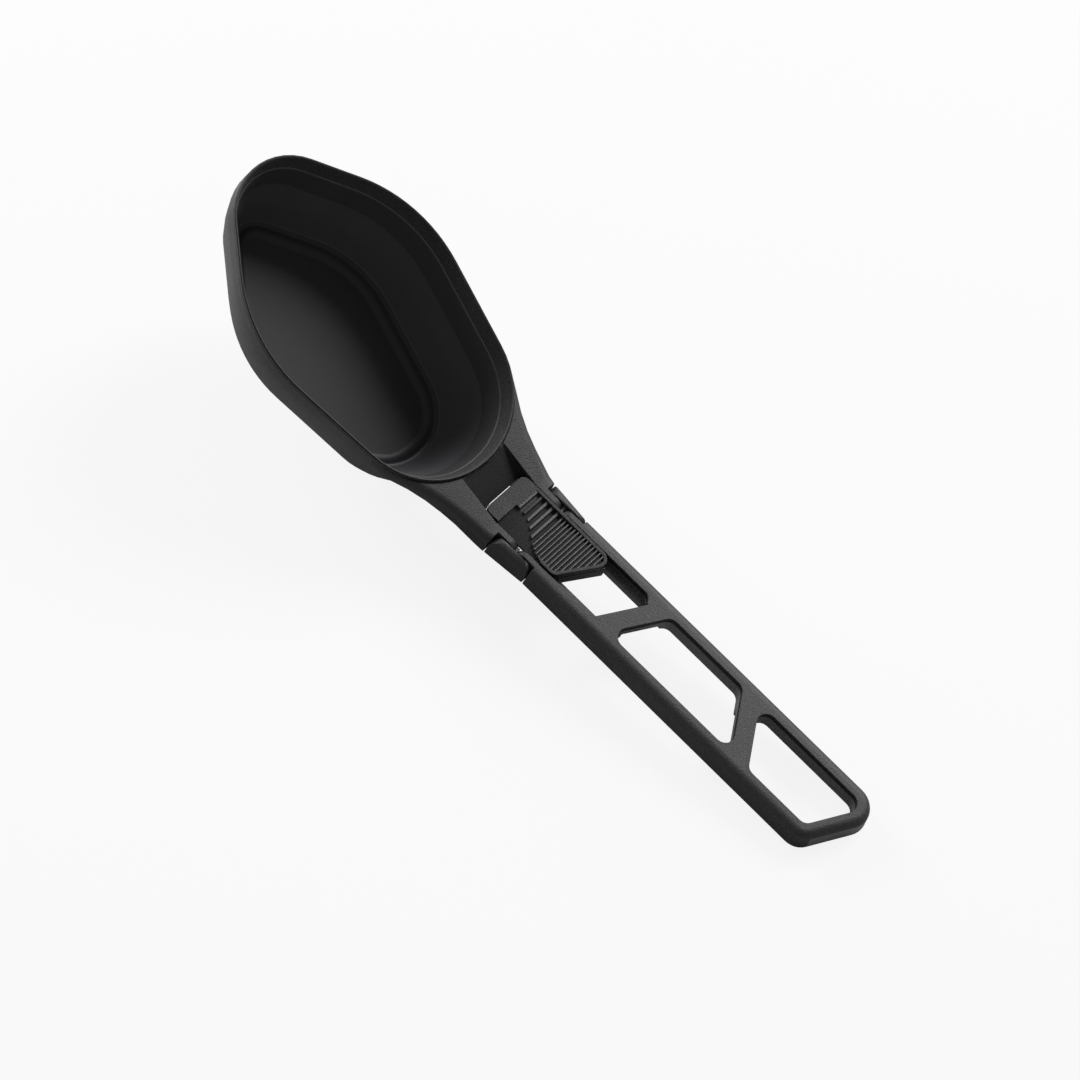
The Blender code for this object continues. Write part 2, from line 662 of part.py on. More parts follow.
def scoop(x, rear_x):
    """Depth of the thumb scoop, deepest a quarter of the way along the ribs."""
    share = (x + RIB_FIRST_X) / (rear_x + RIB_FIRST_X)
    return SCOOP_DEPTH * max(0, sin(pi * min(1, share * 2)))


def rib_cutter():
    """The hollows between the ribs, in one comb that follows the scoop."""
    rear_x = SLIDE_REAR_X + SLIDE_HALF
    crests = [-RIB_FIRST_X + k * COARSE_RIB_PITCH for k in range(COARSE_RIB_COUNT)]
    fine_start = crests[-1] + COARSE_RIB_PITCH
    crests += [fine_start + k * FINE_RIB_PITCH for k in range(FINE_RIB_COUNT + 1)]
    outline = [(crests[-1], SLIDE_RISE + OVERRUN), (crests[0], SLIDE_RISE + OVERRUN)]
    for start, end in zip(crests, crests[1:]):
        width = end - start
        for share, depth_share in RIB_SHARES:
            x = start + share * width
            outline.append((x, SLIDE_RISE - RIB_SINK - scoop(x, rear_x) - depth_share * RIB_DEPTH))
    outline.append((crests[-1], SLIDE_RISE - RIB_SINK))
    comb = prism_y("ribs", outline, -SLIDE_HALF, SLIDE_HALF)
    plan = prism_z("rib_field", slide_plan(RIB_BORDER), SLIDE_UNDERSIDE, SLIDE_RISE + 2 * OVERRUN)
    combine(comb, plan, "INTERSECT")
    front_strip = facet_outline(TRIM)
    front_strip[-2] = (front_strip[-2][0] - OVERRUN, front_strip[-2][1])
    front_strip[-3] = (front_strip[-3][0] - OVERRUN, front_strip[-3][1])
    plan = prism_z("facet_plan", front_strip, SLIDE_UNDERSIDE - GAP, SLIDE_RISE + 3 * OVERRUN)
    combine(comb, plan, "DIFFERENCE")
    return comb


def facet_outline(inset):
    """Plan of the facet, drawn in by the inset where it borders on the pad."""
    edge_y = -SLIDE_HALF - OVERRUN
    outline = []
    for length, reach in reversed(FACET_SHARES):
        x = -FACET_FRONT_X + length * (FACET_FRONT_X + FACET_REAR_X)
        outline.append((x - inset, -SLIDE_HALF + reach * (SLIDE_HALF - FACET_TOP_Y) - inset))
    outline.append((outline[-1][0], edge_y))
    outline.append((outline[0][0], edge_y))
    return outline


def facet_cutter():
    """The facet that takes down the near front corner of the thumb pad and leans to its side."""
    edge_y = -SLIDE_HALF - OVERRUN
    lid_z = SLIDE_RISE + OVERRUN
    slope = (FACET_EDGE_DEPTH - FACET_DEPTH) / (SLIDE_HALF - FACET_TOP_Y)
    low_z = SLIDE_RISE - FACET_EDGE_DEPTH - slope * OVERRUN
    high_z = SLIDE_RISE - FACET_DEPTH + slope * OVERRUN
    wedge = []
    for x in (-FACET_FRONT_X - OVERRUN, FACET_REAR_X + OVERRUN):
        top_y = -FACET_TOP_Y + OVERRUN
        wedge.append([(x, edge_y, low_z), (x, top_y, high_z), (x, top_y, lid_z), (x, edge_y, lid_z)])
    facet = solid_from_rings("facet", wedge)
    plan = prism_z("facet_area", facet_outline(0), low_z - OVERRUN, lid_z - TRIM)
    combine(facet, plan, "INTERSECT")
    return facet


def make_slide():
    slide = prism_z("slide_lock", slide_plan(0), SLIDE_UNDERSIDE, SLIDE_RISE)
    stem_front = (LIP_FRONT_X, 0)
    stem_rear = (SLIDE_REAR_X - TRIM, SLIDE_REAR_SLANT)
    stem_plan = [p[:2] for p in window_corners(stem_front, stem_rear, LIP_HALF - GAP, (0, 0, 0, 0))]
    foot_front = (LIP_FRONT_X + TRIM, 0)
    foot_rear = (SLIDE_REAR_X - EDGE_ROUND, SLIDE_REAR_SLANT)
    foot_plan = [p[:2] for p in window_corners(foot_front, foot_rear, SLIDE_HALF, (0, 0, 0, 0))]
    foot_bottom = SLIDE_FOOT_TOP - SLIDE_FOOT
    combine(slide, prism_z("stem", stem_plan, foot_bottom, SLIDE_UNDERSIDE + GAP), "UNION")
    combine(slide, prism_z("foot", foot_plan, foot_bottom + GAP / 2, SLIDE_FOOT_TOP), "UNION")
    combine(slide, rib_cutter(), "DIFFERENCE")
    combine(slide, facet_cutter(), "DIFFERENCE")
    tidy(slide)
    return slide


# Materials, placing and standing

def make_material(name, color, roughness, metallic):
    material = bpy.data.materials.new(name)
    material.use_nodes = True
    shader = material.node_tree.nodes["Principled BSDF"]
    shader.inputs["Base Color"].default_value = (*color, 1)
    shader.inputs["Roughness"].default_value = roughness
    shader.inputs["Metallic"].default_value = metallic
    return material


def make_empty(name, parent, location):
    item = new_object(name, None)
    item.parent = parent
    item.location = location
    return item


def seat(item, parent, origin, material):
    """Moves the origin to a point of the handle's frame and hangs the piece from its parent."""
    item.data.transform(Matrix.Translation(-origin))
    item.data.materials.clear()
    item.data.materials.append(material)
    item.parent = parent


def stand_on_floor(frame, items):
    """Tips the open spoon until its base and its handle's end touch the floor together."""
    bpy.context.view_layer.update()
    points = sorted((p.x, p.z) for p in
                    (item.matrix_world @ v.co for item in items for v in item.data.vertices))
    hull = []
    for p in points:
        while len(hull) > 1:
            (ax, az), (bx, bz) = hull[-2:]
            if (bx - ax) * (p[1] - az) - (bz - az) * (p[0] - ax) > 0:
                break
            hull.pop()
        hull.append(p)
    for (ax, az), (bx, bz) in zip(hull, hull[1:]):
        if ax < 0 < bx:
            frame.rotation_euler = (0, atan2(bz - az, bx - ax), 0)
    bpy.context.view_layer.update()
    world = [item.matrix_world @ v.co for item in items for v in item.data.vertices]
    xs = [p.x for p in world]
    ys = [p.y for p in world]
    frame.location = (-(min(xs) + max(xs)) / 2, -(min(ys) + max(ys)) / 2, -min(p.z for p in world))


def main():
    for item in list(bpy.data.objects):
        bpy.data.objects.remove(item)
    shell = make_material("charcoal_nylon", (0.045, 0.045, 0.048), 0.55, 0)
    soft = make_material("soft_edge", (0.03, 0.03, 0.032), 0.7, 0)
    lock = make_material("lock_nylon", (0.04, 0.04, 0.042), 0.5, 0)
    steel = make_material("pin_steel", (0.55, 0.55, 0.56), 0.3, 1)

    front_pivot = Vector((FRONT_PIVOT_X, 0, PIVOT_Z))
    rear_pivot = Vector((REAR_PIVOT_X, 0, PIVOT_Z))
    frame = make_empty("spoon_stand", None, (0, 0, 0))
    link = make_empty("front_pivot_axis", frame, front_pivot)
    handle = make_empty("rear_pivot_axis", link, rear_pivot - front_pivot)
    centre = Vector((0, 0, 0))
    items = [make_head(), make_soft_edge(), make_handle(), make_slide()]
    seat(items[0], frame, centre, shell)
    seat(items[1], frame, centre, soft)
    seat(items[2], handle, rear_pivot, shell)
    seat(items[3], handle, rear_pivot, lock)
    for side_name, side in (("left", -1), ("right", 1)):
        block = make_link(f"hinge_link_{side_name}", side)
        seat(block, link, front_pivot, shell)
        items.append(block)
        for pin_name, pivot_x in (("front", FRONT_PIVOT_X), ("rear", REAR_PIVOT_X)):
            pin = make_pin(f"{pin_name}_pin_{side_name}", pivot_x, side)
            seat(pin, link, front_pivot, steel)
            items.append(pin)
    stand_on_floor(frame, items)


main()
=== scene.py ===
"""Looks of the folding spoon: bowl and neck, soft rim, hinge links, handle, sliding lock and stage."""
import json
from math import cos, radians, sin

import bpy
from mathutils import Matrix, Vector

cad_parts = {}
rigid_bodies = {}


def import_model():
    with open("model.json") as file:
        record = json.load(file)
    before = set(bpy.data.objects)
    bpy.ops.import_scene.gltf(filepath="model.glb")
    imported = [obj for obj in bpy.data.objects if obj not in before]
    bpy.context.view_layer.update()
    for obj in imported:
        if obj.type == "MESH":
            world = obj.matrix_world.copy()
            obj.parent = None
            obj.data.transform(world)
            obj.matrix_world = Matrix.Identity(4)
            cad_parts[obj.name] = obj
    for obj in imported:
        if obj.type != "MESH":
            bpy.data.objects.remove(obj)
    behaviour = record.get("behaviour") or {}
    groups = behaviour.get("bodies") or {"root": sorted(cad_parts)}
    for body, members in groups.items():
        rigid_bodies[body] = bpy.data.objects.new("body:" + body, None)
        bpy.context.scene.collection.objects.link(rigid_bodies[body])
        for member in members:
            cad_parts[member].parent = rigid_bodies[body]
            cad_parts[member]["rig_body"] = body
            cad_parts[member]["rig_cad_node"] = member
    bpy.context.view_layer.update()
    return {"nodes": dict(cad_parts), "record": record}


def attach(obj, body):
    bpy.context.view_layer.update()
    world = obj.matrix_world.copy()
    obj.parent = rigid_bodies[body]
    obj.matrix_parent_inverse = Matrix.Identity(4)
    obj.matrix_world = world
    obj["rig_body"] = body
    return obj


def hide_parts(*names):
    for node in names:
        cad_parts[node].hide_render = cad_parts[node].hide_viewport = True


bl_info = {
    "name": "Folding Spoon",
    "version": (1, 0, 0),
    "blender": (4, 5, 0),
    "location": "View3D > Sidebar > Spoon",
    "description": "Builds the detailed pieces, finishes and stage of a folding serving spoon",
    "category": "Object",
}

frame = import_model()
joints = {joint["name"]: joint for joint in frame["record"]["behaviour"]["joints"]}

MM = 0.001

# Widths of the rounded edges.
BOWL_ROUND = 0.2 * MM
RIM_ROUND = 0.045 * MM
LINK_ROUND = 0.3 * MM
HANDLE_ROUND = 0.25 * MM
LOCK_ROUND = 0.1 * MM

# The clean-up's merging distance, and the turns between faces that it and the rounding go by.
MERGE_DISTANCE = 0.002 * MM
FLAT_TURN = radians(0.5)
QUAD_TURN = radians(3)
QUAD_SKEW = radians(150)
ROUNDED_TURN = radians(28)
SMOOTH_TURN = radians(45)

# Up to this x of the row frame the bowl is built of rings, and its rim is all over.
BOWL_RINGS_X = -22 * MM
RIM_RINGS_X = 1.0

# The bowl: how far its floor has to look up, and heights over its base.
FLOOR_SLOPE = 0.99
FLOOR_LIMIT = 4 * MM
BAND_BOTTOM = 28 * MM
BAND_SHOULDER = 31.8 * MM

# The rim: its inner face's slope up, its borders, how deep it is sunk between them, the least slope of the
# lower border that gets a painted highlight, and the slopes of its outer edge, which gets painted shade.
BAND_SLOPE = (0.05, 0.6)
BAND_BORDER = 0.3 * MM
BAND_SINK = 0.15 * MM
BORDER_SLOPE = 0.2
SHOULDER_SLOPE = (0.3, 0.95)

# Places in the handle's frame, whose origin lies over the hinge on the handle's top plane.
HINGE_DEPTH = 3.25 * MM
RECESS_X = -14.9 * MM
RECESS_HALF = 8.7 * MM
RECESS_ANGLES = (20, 40)
WINDOWS_X = 17 * MM
WINDOWS_HALF = 9.3 * MM
WALL_SLOPE = 0.3
# Depth where the window walls' painted shade above turns to painted light below.
SHADE_EDGE_DEPTH = 1.9 * MM
FACET_X = (-9.5 * MM, 7.1 * MM)
FACET_ANGLES = (3, 12)

# Thumb ribs: what counts as a neighbour, and how far the grooves lie below the crests.
LEVEL_SLOPE = 0.85
RIB_AREA = 20 * MM * MM
RIB_REACH = 2.2 * MM
GROOVE_DEPTHS = (0.35 * MM, 0.9 * MM)
CREST_PLAY = 0.2 * MM
RIB_HEIGHT = 0.5 * MM

# Material slots of the pieces. Slot 0 is the piece's own nylon, and the lock's facet has the grooves' slot.
# Apart from the floor, the slots hold painted light and shade: light on the bowl's walls, shade in the
# neck's recess, a highlight on the rim's lower border, shade on its outer shoulder, shade above and light
# below on the window walls, shade in the grooves and a highlight on the rib crests.
FLOOR, LIT_WALL, DIM_LIT_UPPER, SHADED_RECESS = 1, 2, 3, 4
HIGHLIGHT_BORDER, SHADED_SHOULDER = 1, 2
SHADED_WINDOW_TOP, LIT_WINDOW_FOOT = 1, 2
SHADED_GROOVE, LIT_CREST = 1, 2

# Dark and light tones of the finishes that don't follow the nylon's. The floor and the steel have their own
# tones. The others are painted light on the bowl's walls, weaker on the upper wall, and painted highlights
# on the rim's border, the window walls' feet and the rib crests.
FLOOR_TONES = ((0.009, 0.009, 0.0107), (0.0135, 0.0135, 0.016))
LIT_WALL_TONES = ((0.05, 0.05, 0.054), (0.062, 0.062, 0.067))
DIM_LIT_UPPER_TONES = ((0.031, 0.031, 0.0327), (0.04, 0.04, 0.0421))
BORDER_HIGHLIGHT_TONES = ((0.07, 0.07, 0.072), (0.1, 0.1, 0.103))
LIT_WINDOW_FOOT_TONES = ((0.06, 0.06, 0.062), (0.1, 0.1, 0.103))
CREST_HIGHLIGHT_TONES = ((0.017, 0.017, 0.0175), (0.036, 0.036, 0.0371))
STEEL_TONE = (0.6, 0.6, 0.61)

# Shares of the nylon's tones in the finishes that follow them. The smallest share darkens the nylon into
# painted shade for the neck's recess, the rim's outer shoulder, the upper window walls and the lock's
# grooves and facet.
BAND_SHARE = 1.6
LOCK_SHARE = 0.75
SHADE_SHARE = 0.4
LOCK_GRAIN_SHARE = 1.2

# The stage.
VIEWED_POINT = (2.25 * MM, -2.987 * MM, 0)
SENSOR_WIDTH = 36
NEAREST = 0.05
LAMP_TARGET = (-0.03, 0, 0.02)
SKY_STRENGTH = 0.32
WHITE = (1, 1, 1, 1)
PAPER_SIZE = 6
PAPER_TONE = (0.45, 0.45, 0.45, 1)
PAPER_ROUGHNESS = 0.9
PAPER_SHINE = 0.1
PAPER_GLOW = 0.87


def handle_axes():
    """The handle's own frame in the row frame: hinge centre on the top plane, along, across, up."""
    along = Vector(joints["lock_slide"]["axis"]).normalized()
    across = Vector((0, 1, 0))
    up = along.cross(across)
    middle = (Vector(joints["front_fold"]["pos_m"]) + Vector(joints["rear_fold"]["pos_m"])) / 2
    return middle + up * HINGE_DEPTH, along, across, up


def placed(point):
    """A point of the handle's frame, in metres, taken to the row frame."""
    origin, along, across, up = handle_axes()
    return origin + along * point[0] + across * point[1] + up * point[2]


def handle_place(point):
    """A point of the row frame in the handle's frame, in metres."""
    origin, along, across, up = handle_axes()
    offset = point - origin
    return offset.dot(along), offset.dot(across), offset.dot(up)


# Shader maths


class Value:
    """A socket that takes part in Python expressions and adds the Math nodes they need."""

    def __init__(self, shader, socket):
        self.shader = shader
        self.socket = socket

    def _math(self, operation, *terms):
        return self.shader.node("ShaderNodeMath", {"operation": operation}, terms)

    def __add__(self, other):
        return self._math("ADD", self, other)

    def __radd__(self, other):
        return self._math("ADD", other, self)

    def __sub__(self, other):
        return self._math("SUBTRACT", self, other)

    def __rsub__(self, other):
        return self._math("SUBTRACT", other, self)

    def __mul__(self, other):
        return self._math("MULTIPLY", self, other)

    def __rmul__(self, other):
        return self._math("MULTIPLY", other, self)


class Shader:
    """A material's node tree with one method that adds any node."""

    def __init__(self, name):
        self.material = bpy.data.materials.new(name)
        self.material.use_nodes = True
        self.tree = self.material.node_tree
        self.surface = self.tree.nodes["Principled BSDF"]

    def node(self, kind, settings, inputs, output=0):
        """Adds a node with its settings, links or fills its inputs and returns one output."""
        made = self.tree.nodes.new(kind)
        for key, value in settings.items():
            setattr(made, key, value)
        pairs = inputs.items() if isinstance(inputs, dict) else enumerate(inputs)
        for key, value in pairs:
            if isinstance(value, Value):
                self.tree.links.new(value.socket, made.inputs[key])
            else:
                made.inputs[key].default_value = value
        return Value(self, made.outputs[output])

    def place(self):
        """The place on the piece, in its object coordinates."""
        return self.node("ShaderNodeTexCoord", {}, {}, "Object")

    def noise(self, scale, detail=3.0, roughness=0.6):
        """Noise from 0 to 1, its scale in cells to the metre."""
        inputs = {"Vector": self.place(), "Scale": scale, "Detail": detail, "Roughness": roughness}
        return self.node("ShaderNodeTexNoise", {}, inputs, "Fac")

    def ramp(self, value, low, high):
        """Stretches the part of a value between low and high to 0 to 1."""
        inputs = {"Value": value, "From Min": low, "From Max": high}
        return self.node("ShaderNodeMapRange", {"clamp": True}, inputs)

    def mix(self, factor, first, second):
        """A colour between two others."""
        settings = {"data_type": "RGBA", "clamp_factor": True}
        return self.node("ShaderNodeMix", settings, {0: factor, 6: (*first, 1), 7: (*second, 1)}, 2)

    def drive(self, name, value):
        """Links a value to an input of the surface."""
        self.tree.links.new(value.socket, self.surface.inputs[name])

    def relief(self, height, depth):
        """Bumps the surface by a height from 0 to 1 times a depth in metres."""
        inputs = {"Height": height, "Strength": 1.0, "Distance": depth}
        self.drive("Normal", self.node("ShaderNodeBump", {}, inputs))


def moulded_nylon(name, tones, gloss, grain, shine=0.45):
    """Charcoal nylon: a fine spark-eroded grain, slight mottling and rubbed patches."""
    shader = Shader(name)
    shader.surface.inputs["Specular IOR Level"].default_value = shine
    fine = shader.noise(scale=1 / grain)
    cloud = shader.noise(scale=45.0, detail=4.0)
    rubbed = shader.ramp(shader.noise(scale=160.0, detail=5.0, roughness=0.7), low=0.52, high=0.72)
    tone = shader.ramp(fine * 0.8 + cloud * 0.2, low=0.4, high=0.6)
    shader.drive("Base Color", shader.mix(tone, *tones))
    shader.drive("Roughness", gloss + 0.1 * fine + 0.05 * cloud - 0.06 * rubbed)
    shader.relief(fine, depth=grain * 0.32)
    return shader.material


def smooth_lining(name, tones, gloss):
    """The satin inside of the bowl: nearly no grain, with faint wiping marks."""
    shader = Shader(name)
    shader.surface.inputs["Specular IOR Level"].default_value = 0.32
    fine = shader.noise(scale=2600.0, detail=2.0)
    cloud = shader.noise(scale=28.0, detail=5.0)
    marks = shader.ramp(shader.noise(scale=210.0, detail=6.0, roughness=0.75), low=0.58, high=0.7)
    shader.drive("Base Color", shader.mix(shader.ramp(cloud, low=0.3, high=0.7), *tones))
    shader.drive("Roughness", gloss + 0.06 * cloud + 0.05 * marks)
    shader.relief(fine, depth=0.006 * MM)
    return shader.material


def turned_steel(name, tone):
    """Pin steel with fine marks of turning."""
    shader = Shader(name)
    fine = shader.noise(scale=4200.0, detail=2.0)
    marks = shader.noise(scale=900.0, detail=4.0)
    shader.surface.inputs["Metallic"].default_value = 1.0
    shader.drive("Base Color", shader.mix(marks, tuple(part * 0.8 for part in tone), tone))
    shader.drive("Roughness", 0.24 + 0.12 * marks)
    shader.relief(fine, depth=0.004 * MM)
    return shader.material


def shaded(tones, share):
    """A finish's two tones, darker or lighter by a share."""
    return tuple(tuple(share * part for part in tone) for tone in tones)


def paint(item, *materials):
    """Fills an object's material slots, its faces keep the slots that they have."""
    last = len(materials) - 1
    slots = [min(face.material_index, last) for face in item.data.polygons]
    item.data.materials.clear()
    for material in materials:
        item.data.materials.append(material)
    item.data.polygons.foreach_set("material_index", slots)


# Modelling


def alone(item):
    """Selects one object and nothing else."""
    bpy.ops.object.select_all(action="DESELECT")
    item.select_set(True)
    bpy.context.view_layer.objects.active = item


def pick_faces(item, test):
    """Selects the faces of a piece in edit mode for which the test holds."""
    bpy.ops.mesh.select_mode(type="FACE")
    bpy.ops.mesh.select_all(action="DESELECT")
    bpy.ops.object.mode_set(mode="OBJECT")
    for face in item.data.polygons:
        face.select = test(face)
    bpy.ops.object.mode_set(mode="EDIT")


def refined(name, title, width, segments=2, rings=None, shape=None):
    """A copy of a solid with clean faces, its sharp edges rounded and its curves shaded smooth.

    Up to the x given by rings its faces stay the quads of a ringed body. The shape function
    works on the clean faces in edit mode, before the edges are rounded.
    """
    alone(frame["nodes"][name])
    bpy.ops.object.duplicate()
    item = bpy.context.object
    item.name = title
    item.data.name = title
    del item["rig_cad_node"]
    del item["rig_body"]
    bpy.ops.object.mode_set(mode="EDIT")
    bpy.ops.mesh.select_all(action="SELECT")
    bpy.ops.mesh.remove_doubles(threshold=MERGE_DISTANCE)
    if rings:
        bpy.ops.mesh.tris_convert_to_quads(face_threshold=QUAD_TURN, shape_threshold=QUAD_SKEW)
        pick_faces(item, lambda face: min(item.data.vertices[i].co.x for i in face.vertices) > rings)
    bpy.ops.mesh.dissolve_limited(angle_limit=FLAT_TURN, delimit={"NORMAL"})
    if shape:
        shape(item)
    bpy.ops.object.mode_set(mode="OBJECT")
    rounding = item.modifiers.new("Rounding", "BEVEL")
    rounding.width = width
    rounding.segments = segments
    rounding.limit_method = "ANGLE"
    rounding.angle_limit = ROUNDED_TURN
    rounding.use_clamp_overlap = False
    rounding.miter_outer = "MITER_ARC"
    bpy.ops.object.modifier_apply(modifier=rounding.name)
    bpy.ops.object.shade_smooth_by_angle(angle=SMOOTH_TURN)
    shading = item.modifiers.new("Even shading", "WEIGHTED_NORMAL")
    shading.keep_sharp = True
    bpy.ops.object.modifier_apply(modifier=shading.name)
    return item


def fit(item, name):
    """Sets a piece in the place of a solid of the frame."""
    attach(item, frame["nodes"][name]["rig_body"])
    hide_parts(name)


def base_mount():
    """The record's mount on the bowl's flat base, whose axis points out of the base."""
    return next(mount for mount in frame["record"]["mounts"] if mount["name"] == "bowl_base")


def bowl_up():
    """The bowl's own upright."""
    return -Vector(base_mount()["axis"])


def bowl_middle():
    """A point in the middle of the bowl: the centre of its middle opening."""
    low, high = frame["record"]["physics"]["openings"][1]["box_m"]
    return (Vector(low) + Vector(high)) / 2


def bowl_height(point):
    """Height over the bowl's base, along the bowl's own upright."""
    return (point - Vector(base_mount()["pos_m"])).dot(bowl_up())


def inside_faces(item, lid):
    """Indices of the faces that line the bowl: the floor and all that joins it below the lid's height."""
    mesh = item.data
    up = bowl_up()
    middle = bowl_middle()
    by_edge = {}
    for face in mesh.polygons:
        for key in face.edge_keys:
            by_edge.setdefault(key, []).append(face.index)
    level = [face for face in mesh.polygons if face.normal.dot(up) > FLOOR_SLOPE]
    floor = [face for face in level if 0 < bowl_height(face.center) < FLOOR_LIMIT]
    start = min(floor, key=lambda face: (face.center - middle).length)
    found = {start.index}
    queue = [start.index]
    while queue:
        face = mesh.polygons[queue.pop()]
        for key in face.edge_keys:
            for other in by_edge[key]:
                if other not in found and bowl_height(mesh.polygons[other].center) < lid:
                    found.add(other)
                    queue.append(other)
    return found


def sloped(normal, low, high):
    """True where a face looks up at the handle's top side with a slope between two angles in degrees."""
    up = handle_axes()[3]
    return cos(radians(high)) < normal.dot(up) < cos(radians(low))


class SPOON_OT_bowl(bpy.types.Operator):
    """Makes the bowl with its neck"""

    bl_idname = "spoon.bowl"
    bl_label = "Bowl and neck"

    def execute(self, context):
        looks = context.scene.spoon_looks
        item = refined("spoon_head", "bowl_shell", BOWL_ROUND, rings=BOWL_RINGS_X)
        inside = inside_faces(item, looks.rim_height)
        # Painted light on the lining's lower wall, weaker painted light on its upper wall and painted shade
        # in the neck's recess; the floor keeps the lining's own tone.
        for face in item.data.polygons:
            height = bowl_height(face.center)
            if face.index not in inside:
                x, y = handle_place(face.center)[:2]
                if x < RECESS_X and abs(y) < RECESS_HALF and sloped(face.normal, *RECESS_ANGLES):
                    face.material_index = SHADED_RECESS
            elif height < looks.floor_height:
                face.material_index = FLOOR
            elif height < looks.step_height:
                face.material_index = LIT_WALL
            else:
                face.material_index = DIM_LIT_UPPER
        fit(item, "spoon_head")
        return {"FINISHED"}


def around_bowl(face):
    """A face's height over the bowl's base, its slope up and whether it looks into the bowl."""
    up = bowl_up()
    outward = face.center - bowl_middle()
    outward -= up * outward.dot(up)
    return bowl_height(face.center), face.normal.dot(up), face.normal.dot(outward) < 0


def sink_band(item):
    """Sinks the rim's inner face between two thin borders."""

    def inner(face):
        height, slope, inward = around_bowl(face)
        return inward and BAND_SLOPE[0] < slope < BAND_SLOPE[1] and height > BAND_BOTTOM

    pick_faces(item, inner)
    bpy.ops.mesh.inset(thickness=BAND_BORDER, depth=-BAND_SINK)


class SPOON_OT_rim(bpy.types.Operator):
    """Makes the soft edge on the rim"""

    bl_idname = "spoon.rim"
    bl_label = "Soft rim"

    def execute(self, context):
        item = refined("soft_rim_edge", "soft_edge_band", RIM_ROUND, rings=RIM_RINGS_X, shape=sink_band)
        low, high = SHOULDER_SLOPE
        # A painted highlight on the lower border of the rim's inner face, and painted shade on its outer
        # shoulder.
        for face in item.data.polygons:
            height, slope, inward = around_bowl(face)
            if inward and slope > BORDER_SLOPE and height < BAND_BOTTOM:
                face.material_index = HIGHLIGHT_BORDER
            elif not inward and low < slope < high and height > BAND_SHOULDER:
                face.material_index = SHADED_SHOULDER
        fit(item, "soft_rim_edge")
        return {"FINISHED"}


class SPOON_OT_links(bpy.types.Operator):
    """Makes the two hinge links"""

    bl_idname = "spoon.links"
    bl_label = "Hinge links"

    def execute(self, context):
        for side in ("left", "right"):
            item = refined("hinge_link_" + side, "link_" + side, LINK_ROUND, segments=3)
            fit(item, "hinge_link_" + side)
        return {"FINISHED"}


def part_handle(item):
    """Cuts all faces along the level where the walls of the windows change from painted shade above to
    painted light below.
    """
    bpy.ops.mesh.select_all(action="SELECT")
    bpy.ops.mesh.bisect(plane_co=placed((0, 0, -SHADE_EDGE_DEPTH)), plane_no=handle_axes()[3])


class SPOON_OT_handle(bpy.types.Operator):
    """Makes the skeleton handle"""

    bl_idname = "spoon.handle"
    bl_label = "Handle"

    def execute(self, context):
        item = refined("handle_frame", "handle_skeleton", HANDLE_ROUND, shape=part_handle)
        up = handle_axes()[3]
        # Window walls: painted shade above the level, painted light below it.
        for face in item.data.polygons:
            x, y, z = handle_place(face.center)
            upright = abs(face.normal.dot(up)) < WALL_SLOPE
            if upright and x > WINDOWS_X and abs(y) < WINDOWS_HALF:
                face.material_index = SHADED_WINDOW_TOP if z > -SHADE_EDGE_DEPTH else LIT_WINDOW_FOOT
        fit(item, "handle_frame")
        return {"FINISHED"}


def paint_ribs(item):
    """Sets the slots of the thumb ribs: painted shade at the bottom of the grooves, a painted highlight on
    the crests.
    """
    up = handle_axes()[3]
    level = [face for face in item.data.polygons if face.normal.dot(up) > LEVEL_SLOPE]
    level = [face for face in level if face.area < RIB_AREA]
    heights = [(face.center, face.center.dot(up)) for face in level]
    for face in level:
        near = [height for center, height in heights if (center - face.center).length < RIB_REACH]
        below = max(near) - face.center.dot(up)
        if GROOVE_DEPTHS[0] < below < GROOVE_DEPTHS[1]:
            face.material_index = SHADED_GROOVE
        elif below < CREST_PLAY and max(near) - min(near) > RIB_HEIGHT:
            face.material_index = LIT_CREST


class SPOON_OT_lock(bpy.types.Operator):
    """Makes the sliding lock with its thumb ribs"""

    bl_idname = "spoon.lock"
    bl_label = "Sliding lock"

    def execute(self, context):
        item = refined("slide_lock", "thumb_slide", LOCK_ROUND)
        # The facet beside the ribs gets the grooves' painted shade.
        for face in item.data.polygons:
            x, y = handle_place(face.center)[:2]
            if FACET_X[0] < x < FACET_X[1] and y < 0 and sloped(face.normal, *FACET_ANGLES):
                face.material_index = SHADED_GROOVE
        paint_ribs(item)
        fit(item, "slide_lock")
        return {"FINISHED"}


class SpoonLooks(bpy.types.PropertyGroup):
    step_height: bpy.props.FloatProperty(
        name="Step height", description="Height over the base where the bowl's dark upper wall begins",
        default=19.8 * MM, unit="LENGTH")
    floor_height: bpy.props.FloatProperty(
        name="Floor height", description="Height over the base where the bowl's floor ends",
        default=5.2 * MM, unit="LENGTH")
    rim_height: bpy.props.FloatProperty(
        name="Rim height", description="Height over the base where the bowl's inside ends",
        default=30.6 * MM, unit="LENGTH")
    grain: bpy.props.FloatProperty(
        name="Grain", description="Size of the nylon's moulded grain",
        default=0.42 * MM, unit="LENGTH", min=0.05 * MM)
    nylon_dark: bpy.props.FloatVectorProperty(
        name="Nylon dark", description="Darkest tone of the nylon",
        default=(0.0075, 0.0075, 0.008), subtype="COLOR", min=0, max=1)
    nylon_light: bpy.props.FloatVectorProperty(
        name="Nylon light", description="Lightest tone of the nylon",
        default=(0.022, 0.022, 0.0229), subtype="COLOR", min=0, max=1)


